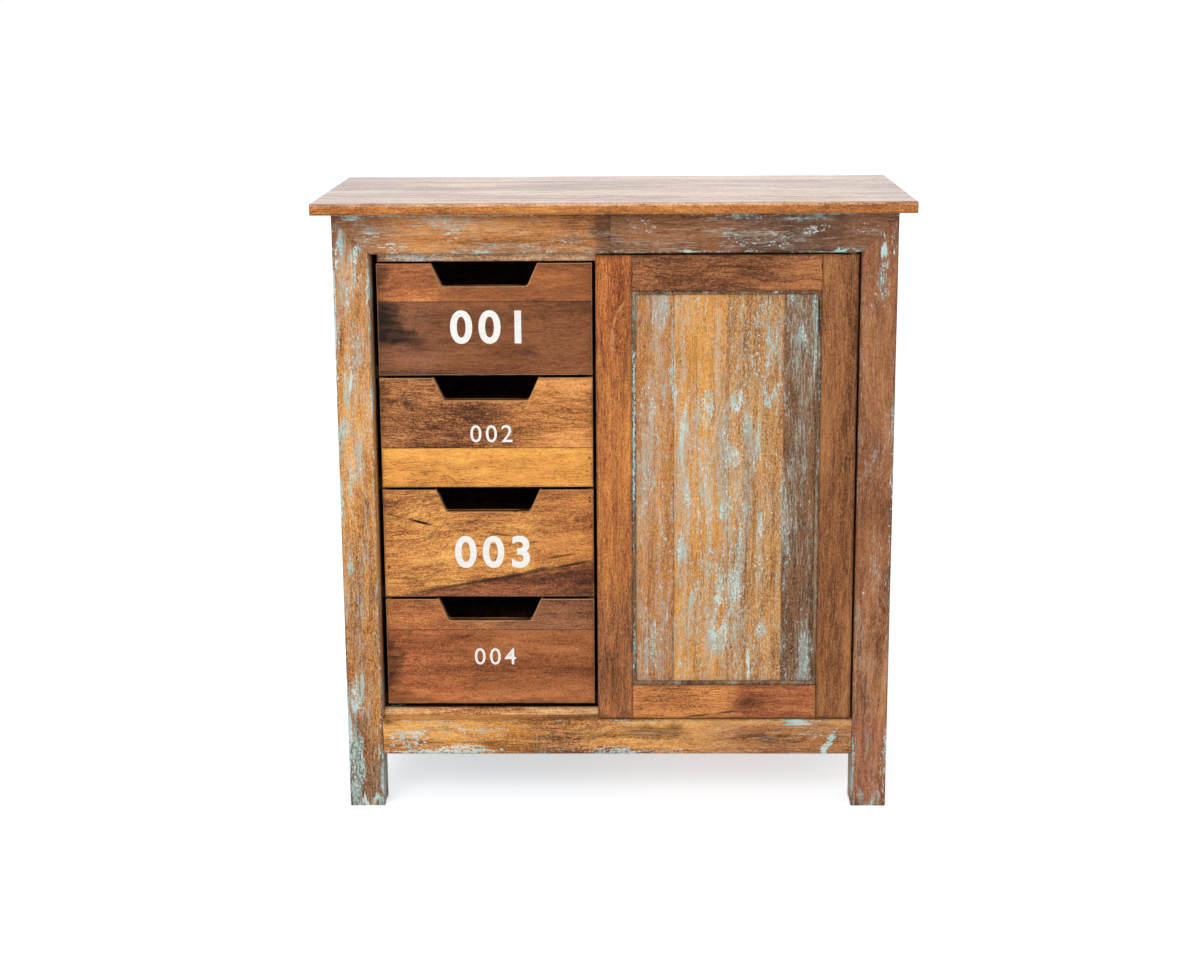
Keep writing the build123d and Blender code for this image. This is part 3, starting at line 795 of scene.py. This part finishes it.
def top_rail_wood():
    """The mitred rail of two lengths, the right one darker."""
    return Wood(
        ("9a6034", "c08048", "d49658"), seed=2.4, seams=(RAIL_SEAM,), seam_dirt=0.4,
        fibres=1.0, grit=0.8, scuffs=0.3, veil=0.5, paint=0.2, edge_paint=0.7, roughness=0.5,
        zones=(
            Zone(("6c422a", "94603c", "ac764c"), (("X", -0.290, -0.040),)),
            Zone(("5a3925", "764e32", "8c6242"), (("X", -0.024, 0.012),)),
            Zone(("66402a", "8c5c3a", "a4724c"), (("X", 0.016, 0.012),)),
            Zone(("4e3424", "6e4a36", "865e46"), (("X", 0.150, 0.040),)),
            Zone(("62402c", "85583e", "9a6c4c"), (("X", 0.310, 0.020),)),
        ),
        painted=(
            spot(-0.345, 0.832, 0.080, 0.012, 1.4),
            spot(-0.322, 0.804, 0.024, 0.030, 0.9),
            spot(-0.300, 0.790, 0.080, 0.024, 1.0),
            spot(-0.240, 0.820, 0.160, 0.014, 0.8),
            spot(-0.212, 0.806, 0.040, 0.022, 0.9, -30),
            spot(-0.170, 0.786, 0.050, 0.012, 1.1),
            spot(-0.080, 0.792, 0.140, 0.024, 0.6),
            spot(-0.200, 0.832, 0.400, 0.010, 1.0),
            spot(0.200, 0.830, 0.340, 0.014, 0.9),
            spot(0.040, 0.814, 0.080, 0.022, 0.8, -25),
            spot(0.102, 0.783, 0.040, 0.006, 2.4),
            spot(0.165, 0.800, 0.070, 0.030, 0.9, -35),
            spot(0.220, 0.796, 0.110, 0.030, 0.7),
            spot(0.270, 0.812, 0.050, 0.018, 1.0),
            spot(0.304, 0.785, 0.040, 0.012, 1.2),
            spot(0.330, 0.810, 0.060, 0.040, 0.6),
        ),
    )


def bottom_rail_wood():
    """The pale rail with dark stains and a few marks of paint."""
    return Wood(
        ("a86a34", "e09a4e", "f6bc70"), seed=6.6, figure=1.5, fibres=0.8, grit=1.0, scuffs=0.25,
        veil=0.3, paint=0.35, edge_paint=0.5, brush=1.0, roughness=0.5,
        zones=(
            Zone(("7e4e2c", "d69250", "f2b468"), (("X", -0.110, 0.030),)),
            Zone(("7c5032", "b87a48", "d2985e"), (("X", 0.110, 0.050),)),
        ),
        painted=(
            spot(-0.290, 0.100, 0.100, 0.040, 1.0),
            spot(-0.200, 0.112, 0.160, 0.020, 0.7),
            spot(-0.230, 0.083, 0.240, 0.014, 1.3),
            spot(0.030, 0.083, 0.240, 0.010, 1.0),
            spot(0.297, 0.093, 0.016, 0.050, 1.9, -22),
            spot(0.255, 0.124, 0.080, 0.008, 1.4),
            spot(0.270, 0.106, 0.060, 0.020, 0.8),
        ),
        stains=(
            spot(-0.250, 0.112, 0.120, 0.012, 0.4),
            spot(-0.020, 0.104, 0.160, 0.014, 0.4),
            spot(0.057, 0.110, 0.110, 0.034, 0.75),
            spot(0.202, 0.103, 0.100, 0.014, 0.8),
        ),
    )


def dress_front_rails():
    """The mitred top rail, the bottom rail, the strip behind the top rail and the floor board."""
    dress("front_top_rail", top_rail_wood())
    dress("front_bottom_rail", bottom_rail_wood())
    strip = Wood(("a8744c", "dca676", "f6d2a4"), seed=9.2, veil=0.5, paint=0.8)
    strip.painted = (spot(-0.260, 0.772, 0.120, 0.050, 0.6),)
    dress("stop_strip", strip)
    # Painted shade: the floor board is near black where it lies in the gap under the drawers
    painted_gap_shade = (("X", -0.016, -0.003), ("Y", -0.149, 0.002))
    # Pale colours for the floor board: in part painted top light and sheen on the lip
    floor = Wood(("b0764a", "ecb074", "ffd49a"), seed=7.7, paint=0.2, figure=1.8)
    floor.painted = (spot(-0.316, 0.137, 0.040, 0.014, 1.0),)
    floor.zones = (Zone(("20130c", "342114", "4a301d"), painted_gap_shade),)
    dress("floor_board", floor)


def plank_zones(seams, palettes):
    """A zone for each plank after the first, from its seam on."""
    return tuple(Zone(palette, ((*seam, SEAM_BORDER),)) for seam, palette in zip(seams, palettes))


def dress_side_frames():
    """The rails and panels of the two sides."""
    planks = (
        ("9a6a42", "bd8756", "cf9f6c"),
        ("7d5a40", "a07a58", "bb9672"),
        ("a06f46", "c48c58", "d6a670"),
    )
    zones = plank_zones(SIDE_SEAMS, planks)
    for side, seed in (("left", 11.0), ("right", 14.0)):
        for level in ("top", "bottom"):
            seed += 0.7
            rail = Wood(TAN, "Y", seed=seed, veil=0.5, paint=0.4, edge_paint=1.0, roughness=0.5)
            dress(f"{side}_{level}_rail", rail)
        panel = Wood(
            ("8f6038", "bc8650", "d2a46e"), "Z", seed=seed + 2, zones=zones, seams=SIDE_SEAMS,
            veil=0.7, paint=0.6, edge_paint=0.6, roughness=0.55, stripes=0.9, scuffs=0.5,
        )
        dress(f"{side}_side_panel", panel)


def first_drawer_wood():
    """Dark wood below, redder wood above."""
    seam = ("Z", 0.713)
    above = (*seam, SEAM_BORDER)
    left = ("X", -0.235, -0.03)
    return Wood(
        ("5f371f", "7c4a2c", "925c38"), seed=21.0, seams=(seam,), fibres=0.9, grit=0.8,
        zones=(
            Zone(("5a3725", "7d4d34", "935f40"), (left,)),
            Zone(("6c3e26", "8e5430", "aa673a"), (above,)),
            Zone(("8e5434", "ba7041", "de9053"), (above, left)),
        ),
        stains=(
            spot(-0.316, 0.682, 0.080, 0.080, 1.4, -30),
            spot(-0.295, 0.670, 0.120, 0.036, 1.2, -18),
            spot(-0.324, 0.752, 0.060, 0.080, 0.9),
        ),
    )


def second_drawer_wood():
    """Yellow wood below, brown wood above that turns yellow to the right."""
    seam = ("Z", 0.5115)
    above = (*seam, SEAM_BORDER)
    return Wood(
        ("d28a44", "e89e4c", "f4ae54"), seed=23.0, seams=(seam,), sway=0.04, veins=0.5,
        zones=(
            Zone(("5e3622", "9e6239", "c48852"), (above,)),
            Zone(("a46634", "d28a4c", "eaa05c"), (above, ("X", -0.140, 0.04))),
        ),
        stains=(
            spot(-0.290, 0.575, 0.080, 0.016, 0.6, -8),
            spot(-0.060, 0.565, 0.050, 0.006, 0.6, -6),
            spot(-0.320, 0.580, 0.040, 0.080, 0.5),
        ),
        cracks=(spot(-0.034, 0.497, 0.007, 0.004, 0.8),),
    )


def third_drawer_wood():
    """One yellow board with a dark corner below its slanting figure."""
    return Wood(
        ("a8683a", "dc9650", "f6b464"), seed=25.0, sway=0.05, tilt=0.08, veins=0.4, fibres=1.0,
        zones=(
            Zone(("96582f", "bf7a42", "dc944e"), (("X", -0.110, 0.030),)),
            Zone(("58321f", "874e32", "b06a42"), (((-0.18, 0, 1), 0.3555, -0.005),)),
        ),
        stains=(
            spot(-0.140, 0.331, 0.050, 0.020, 0.6, 20),
            spot(-0.040, 0.318, 0.060, 0.050, 0.4),
            spot(-0.240, 0.311, 0.150, 0.010, 0.5, 9),
        ),
        cracks=(
            spot(-0.268, 0.407, 0.050, 0.006, 1.0, -15),
            spot(-0.303, 0.416, 0.040, 0.004, 0.6, -15),
            spot(-0.156, 0.389, 0.050, 0.005, 0.7, -8),
            spot(-0.076, 0.358, 0.064, 0.005, 0.7, 10),
            spot(-0.170, 0.325, 0.300, 0.007, 0.8, 10),
            spot(-0.110, 0.337, 0.070, 0.010, 0.8, 14),
            spot(-0.060, 0.346, 0.090, 0.006, 0.9, 12),
            spot(-0.034, 0.4415, 0.005, 0.004, 0.9),
            spot(-0.034, 0.4362, 0.005, 0.004, 0.9),
            spot(-0.032, 0.402, 0.005, 0.005, 0.7),
            spot(-0.313, 0.343, 0.008, 0.007, 0.7),
        ),
        knots=(spot(-0.292, 0.373, 0.014, 0.010, 0.6),),
    )


def fourth_drawer_wood():
    """Red-brown wood, smoky on the left."""
    seam = ("Z", 0.252)
    above = (*seam, SEAM_BORDER)
    return Wood(
        ("8a4e2c", "a8653a", "ba7647"), seed=27.0, seams=(seam,), sway=0.03, fibres=0.7,
        zones=(
            Zone(("905330", "b86b40", "d0804b"), (("X", -0.215, -0.04),)),
            Zone(("805034", "9e6746", "b87c52"), (above,)),
            Zone(("925632", "bc7444", "de9456"), (above, ("X", -0.190, -0.05))),
        ),
        stains=(
            spot(-0.322, 0.195, 0.070, 0.130, 0.9),
            spot(-0.290, 0.152, 0.120, 0.030, 0.6),
            spot(-0.170, 0.147, 0.340, 0.014, 0.4),
        ),
        cracks=(
            spot(-0.300, 0.205, 0.012, 0.003, 0.6, 20),
            spot(-0.280, 0.209, 0.010, 0.003, 0.6, 25),
        ),
    )


def dress_drawer_fronts():
    """Four bare, varnished fronts, with painted shade behind the face: darker in the cut of the grip, near
    black on the top edge.
    """
    woods = (first_drawer_wood(), second_drawer_wood(), third_drawer_wood(), fourth_drawer_wood())
    for index, wood in enumerate(woods, 1):
        wood.roughness = 0.4
        wood.figure = 1.4
        wood.worn_edge_and_highlight = 0.6
        node = f"drawer_{index}_front"
        low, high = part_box(node)
        behind_face = ("Y", low[1] + GRIP_EDGE_WIDTH, SEAM_BORDER)
        upper_rim = ("Z", high[2] - GRIP_EDGE_WIDTH, SEAM_BORDER)
        # Painted shade: darker wood behind the face and in the cut of the grip, near black on the top edge
        # behind it
        wood.zones += (
            Zone(("4a2c1b", "7a4e31", "94623f"), (behind_face,)),
            Zone(("170e09", "241710", "332117"), (behind_face, upper_rim)),
        )
        dress(node, wood)


def dress_door_frame():
    """The bare stiles and rails of the door."""
    left = Wood(
        ("653e27", "8f5a38", "b87343"), "Z", seed=31.0,
        zones=(
            Zone(("9a5932", "b8723d", "d68b45"), (("Z", 0.310, 0.050),)),
            Zone(("8c4a27", "b86a36", "d48448"), (("Z", 0.640, 0.050),)),
        ),
        knots=(spot(0.000, 0.690, 0.030, 0.100, 0.45),),
        pale=(
            spot(0.010, 0.708, 0.030, 0.006, 0.6, 56),
            spot(0.001, 0.689, 0.026, 0.006, 0.6, 76),
            spot(-0.002, 0.662, 0.010, 0.050, 0.5),
        ),
        stains=(
            spot(-0.004, 0.190, 0.040, 0.120, 0.35),
            spot(0.014, 0.675, 0.030, 0.090, 0.2),
            spot(0.012, 0.740, 0.040, 0.040, 0.2),
        ),
    )
    right = Wood(("704428", "945e39", "a97245"), "Z", seed=33.0)
    top = Wood(("673b21", "8d5938", "b47545"), seed=35.0, rings=14.0, veins=0.6, sway=0.05)
    bottom = Wood(
        ("b4703e", "d68c50", "e89e5c"), seed=37.0,
        zones=(Zone(("824a2d", "aa623b", "c07a4f"), (("X", 0.165, 0.020),)),),
        knots=(spot(0.180, 0.153, 0.030, 0.022, 0.9),),
        stains=(spot(0.190, 0.150, 0.060, 0.030, 0.5, 10),),
        cracks=(
            spot(0.113, 0.1335, 0.060, 0.004, 0.8, 6),
            spot(0.154, 0.1385, 0.044, 0.005, 0.8, 9),
        ),
    )
    dress("door_left_stile", left)
    dress("door_right_stile", right)
    dress("door_top_rail", top)
    dress("door_bottom_rail", bottom)


def panel_patches():
    """Where most of the whitewash is left on the door panel."""
    return (
        spot(0.196, 0.660, 0.060, 0.180, 0.35),
        spot(0.150, 0.420, 0.160, 0.420, 0.25),
        spot(0.140, 0.270, 0.120, 0.160, 0.3),
        spot(0.066, 0.703, 0.030, 0.060, 0.4),
        spot(0.080, 0.608, 0.010, 0.170, 0.63),
        spot(0.045, 0.560, 0.050, 0.160, 0.2),
        spot(0.093, 0.530, 0.014, 0.120, 0.72),
        spot(0.123, 0.567, 0.030, 0.080, 0.63),
        spot(0.166, 0.580, 0.026, 0.040, 0.95),
        spot(0.180, 0.549, 0.012, 0.070, 0.72),
        spot(0.195, 0.515, 0.016, 0.080, 0.72),
        spot(0.160, 0.497, 0.036, 0.050, 0.72),
        spot(0.100, 0.451, 0.012, 0.060, 0.79),
        spot(0.114, 0.427, 0.008, 0.100, 0.63),
        spot(0.154, 0.427, 0.050, 0.040, 0.55),
        spot(0.092, 0.375, 0.026, 0.050, 0.79),
        spot(0.196, 0.403, 0.012, 0.070, 0.63),
        spot(0.169, 0.385, 0.020, 0.070, 0.63),
        spot(0.165, 0.324, 0.032, 0.080, 0.72),
        spot(0.142, 0.310, 0.016, 0.090, 0.72),
        spot(0.108, 0.307, 0.012, 0.040, 0.63),
        spot(0.141, 0.246, 0.046, 0.100, 0.72),
        spot(0.187, 0.217, 0.012, 0.080, 0.95),
        spot(0.203, 0.256, 0.018, 0.060, 0.63),
        spot(0.210, 0.590, 0.030, 0.040, 0.72),
        spot(0.230, 0.441, 0.010, 0.150, 0.48),
        spot(0.042, 0.470, 0.024, 0.160, 0.26),
        spot(0.052, 0.232, 0.024, 0.120, 0.4),
        spot(0.272, 0.675, 0.012, 0.180, 0.63),
        spot(0.238, 0.735, 0.016, 0.030, 0.63),
        spot(0.250, 0.660, 0.030, 0.030, 0.4),
        spot(0.262, 0.230, 0.030, 0.130, 0.48),
    )


def dress_door_panel():
    """The whitewashed, planked panel of the door and the beads round it."""
    planks = (
        ("bc7c3a", "d69248", "e2a65a"),
        ("9c6a3e", "c48c53", "d6a568"),
        ("553722", "785439", "906847"),
    )
    panel = Wood(
        ("a06434", "b87a44", "c88e54"), "Z", seed=39.0, zones=plank_zones(PANEL_SEAMS, planks),
        seams=PANEL_SEAMS, seam_dirt=0.3, figure=0.7, stripes=0.7, fibres=0.7, grit=1.7, scuffs=0.4,
        veil=0.85, paint=0.7, edge_paint=0.6, painted=panel_patches(), patch_veil=0.36,
        bare=(spot(0.258, 0.470, 0.075, 0.800, 0.2),), roughness=0.6,
    )
    beads = Wood(("5c3f2c", "806044", "a08060"), "Z", seed=41.0, veil=0.7, paint=0.5, roughness=0.6)
    beads.painted = (
        spot(0.024, 0.560, 0.024, 0.420, 1.0),
        spot(0.026, 0.240, 0.024, 0.120, 0.8),
        spot(0.287, 0.640, 0.020, 0.260, 1.5),
        spot(0.289, 0.360, 0.020, 0.240, 1.0),
        spot(0.160, 0.210, 0.240, 0.020, 0.7),
    )
    dress("door_panel", panel)
    dress("door_panel_beads", beads)


# Plain numerals printed on the drawers
def print_material(name, seed):
    """Worn white print over wood."""
    surface = Surface(name)
    grain = surface.vector("ADD", surface.place, (seed, seed, 0))
    streak = surface.noise(grain, (30, 210, 210), 6.0, 0.7, 0.4)
    speck = surface.noise(grain, (400, 900, 900), 3.0)
    worn = surface.ease(surface.weigh(((1.0, streak), (0.6, speck))), 0.70, 0.82)
    white = surface.ramp(streak, tuple(zip((0.3, 0.7), map(srgb, PRINT_COLOURS))))
    sockets = surface.shader.inputs
    surface.feed(sockets["Base Color"], surface.mix(worn, white, srgb(WORN_PRINT)))
    surface.feed(sockets["Roughness"], surface.ease(streak, 0.3, 0.7, 0.45, 0.65))
    sockets["Specular IOR Level"].default_value = 0.2
    surface.bump(surface.weigh(((0.6, streak), (-0.4, worn))), 0.0004, 0.6)
    return surface.material


def numeral_mesh(text, height, weight):
    """Flat numerals about the origin, upright in X and Z, facing the front."""
    curve = bpy.data.curves.new(f"numeral_{text}", "FONT")
    curve.body = text
    curve.align_x = "CENTER"
    curve.align_y = "CENTER"
    curve.offset = weight
    curve.space_character = NUMERAL_SPACING
    curve.resolution_u = 6
    source = bpy.data.objects.new(f"numeral_{text}", curve)
    flat = source.to_mesh()
    mesh = bmesh.new()
    mesh.from_mesh(flat)
    source.to_mesh_clear()
    bpy.data.objects.remove(source)
    levels = [vertex.co.y for vertex in mesh.verts]
    scale = height / (max(levels) - min(levels))
    for vertex in mesh.verts:
        vertex.co = Vector((vertex.co.x * scale, 0, vertex.co.y * scale))
    return mesh


def add_numerals():
    """One numeral on each drawer front, large and small by turns."""
    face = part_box("drawer_1_front")[0][1]
    kinds = (LARGE_NUMERAL, SMALL_NUMERAL) * 2
    for index, (level, (height, weight)) in enumerate(zip(NUMERAL_LEVELS, kinds), 1):
        mesh = numeral_mesh(f"00{index}", height, weight)
        middle = Vector((NUMERAL_MIDDLE, face, level))
        for vertex in mesh.verts:
            vertex.co += middle
        span = [[pick(v.co[axis] for v in mesh.verts) for axis in range(3)] for pick in (min, max)]
        cut_grid(mesh, *span)
        for vertex in mesh.verts:
            vertex.co.y += hollow(vertex.co) - PRINT_LIFT
        name = f"drawer_{index}_numeral"
        add_piece(name, mesh, f"drawer_{index}_front", print_material(name, 70.0 + index))


# Plain boards, metal and plastic
def metal_material(name, code, roughness):
    """Plain metal with fine scratches and dull spots."""
    surface = Surface(name)
    scratch = surface.noise(surface.place, (90, 90, 1400), 4.0)
    dull = surface.noise(surface.place, (160, 160, 160), 3.0)
    colour = surface.mix(surface.ease(dull, 0.35, 0.7, 0.0, 0.45), srgb(code), srgb(TARNISH))
    rough = surface.ease(scratch, 0.2, 0.8, roughness - 0.1, roughness + 0.15)
    surface.feed(surface.shader.inputs["Base Color"], colour)
    surface.shader.inputs["Metallic"].default_value = 1.0
    surface.feed(surface.shader.inputs["Roughness"], rough)
    surface.bump(scratch, 0.0001, 0.5)
    return surface.material


def plastic_material(name):
    """Moulded black plastic with a fine grain and dust."""
    surface = Surface(name)
    grain = surface.noise(surface.place, (1500, 1500, 1500), 2.0)
    dust = surface.noise(surface.place, (60, 60, 60), 5.0)
    colour = surface.mix(surface.ease(dust, 0.5, 0.8, 0.0, 0.5), srgb(BLACK_PLASTIC), srgb(DUST))
    surface.feed(surface.shader.inputs["Base Color"], colour)
    surface.feed(surface.shader.inputs["Roughness"], surface.ease(dust, 0.3, 0.7, 0.45, 0.65))
    surface.bump(grain, 0.0002, 0.5)
    return surface.material


def dress_inside():
    """The plain boards of the inside and the back, and the metal and plastic pieces."""
    boards = [(node, "X") for node in ("rear_top_rail", "rear_bottom_rail", "floor_cleat", "shelf")]
    boards += [(node, "Y") for node in ("shelf_cleat_left", "shelf_cleat_right")]
    boards += [(node, "Z") for node in ("back_panel", "partition")]
    for index in range(1, 5):
        for piece, axis in (("left_side", "Y"), ("right_side", "Y"), ("back", "X"), ("bottom", "Y")):
            boards.append((f"drawer_{index}_{piece}", axis))
    for seed, (node, axis) in enumerate(boards, 50):
        wood = Wood(("4c321f", "6f4d31", "8b6645"), axis, seed=seed * 1.7, roughness=0.6)
        coat_node(node, wood_material(node, wood, *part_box(node)))
    for node, seed in (("drawer_runners_left", 19), ("drawer_runners_right", 20)):
        wood = Wood(("1e130c", "2e1d12", "40291a"), "Y", seed=seed, roughness=0.7)
        coat_node(node, wood_material(node, wood, *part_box(node)))
    brass = metal_material("aged_brass", AGED_BRASS, 0.5)
    steel = metal_material("steel", STEEL, 0.4)
    coat_node("pivot_bush_top", brass)
    coat_node("pivot_bush_bottom", brass)
    coat_node("door_pivot_pins", steel)
    coat_node("door_catch_plate", steel)
    coat_node("catch_magnet", plastic_material("black_plastic"))


# Surroundings
def add_floor():
    """A plain white floor that keeps the shadow."""
    bpy.ops.mesh.primitive_plane_add(size=FLOOR_SIZE)
    floor = bpy.context.object
    floor.name = "floor"
    surface = Surface("floor")
    sockets = surface.shader.inputs
    sockets["Base Color"].default_value = FLOOR_COLOUR
    sockets["Roughness"].default_value = 0.9
    sockets["Emission Color"].default_value = FLOOR_GLOW
    glow = surface.math("MULTIPLY", surface.seen(), FLOOR_GLOW_STRENGTH)
    surface.feed(sockets["Emission Strength"], glow)
    floor.data.materials.append(surface.material)


def add_surround():
    """A surround that is seen plain white and lights the cabinet less."""
    world = bpy.data.worlds.new("surround")
    world.use_nodes = True
    nodes = Nodes(world.node_tree)
    sockets = nodes.tree.nodes["Background"].inputs
    sockets["Color"].default_value = (1, 1, 1, 1)
    nodes.feed(sockets["Strength"], nodes.ease(nodes.seen(), 0.0, 1.0, SURROUND_STRENGTH, 1.0))
    bpy.context.scene.world = world


def add_lamp():
    """A broad soft lamp above the front, on the left."""
    data = bpy.data.lights.new("soft_box", "AREA")
    data.shape = "RECTANGLE"
    data.size = LAMP_WIDTH
    data.size_y = LAMP_HEIGHT
    data.energy = LAMP_POWER
    lamp = bpy.data.objects.new("soft_box", data)
    lamp.location = LAMP_PLACE
    lamp.rotation_euler = (LAMP_AIM - LAMP_PLACE).to_track_quat("-Z", "Y").to_euler()
    bpy.context.scene.collection.objects.link(lamp)


def add_camera():
    """The viewpoint of the photograph."""
    forward = Vector((
        -math.sin(CAMERA_YAW) * math.cos(CAMERA_PITCH),
        math.cos(CAMERA_YAW) * math.cos(CAMERA_PITCH),
        -math.sin(CAMERA_PITCH),
    ))
    level = Vector((math.cos(CAMERA_YAW), math.sin(CAMERA_YAW), 0))
    upright = level.cross(forward)
    right = math.cos(CAMERA_ROLL) * level + math.sin(CAMERA_ROLL) * upright
    up = math.cos(CAMERA_ROLL) * upright - math.sin(CAMERA_ROLL) * level
    data = bpy.data.cameras.new("view")
    data.sensor_fit = "HORIZONTAL"
    data.sensor_width = SENSOR_WIDTH
    data.lens = FOCAL_PIXELS / IMAGE_WIDTH * SENSOR_WIDTH
    camera = bpy.data.objects.new("view", data)
    turn = Matrix((right, up, -forward)).transposed().to_4x4()
    camera.matrix_world = Matrix.Translation(CAMERA_PLACE) @ turn
    bpy.context.scene.collection.objects.link(camera)
    bpy.context.scene.camera = camera


dress_top()
dress_legs()
dress_front_rails()
dress_side_frames()
dress_drawer_fronts()
dress_door_frame()
dress_door_panel()
add_numerals()
dress_inside()
add_floor()
add_surround()
add_lamp()
add_camera()
bpy.context.scene.view_settings.view_transform = "Standard"
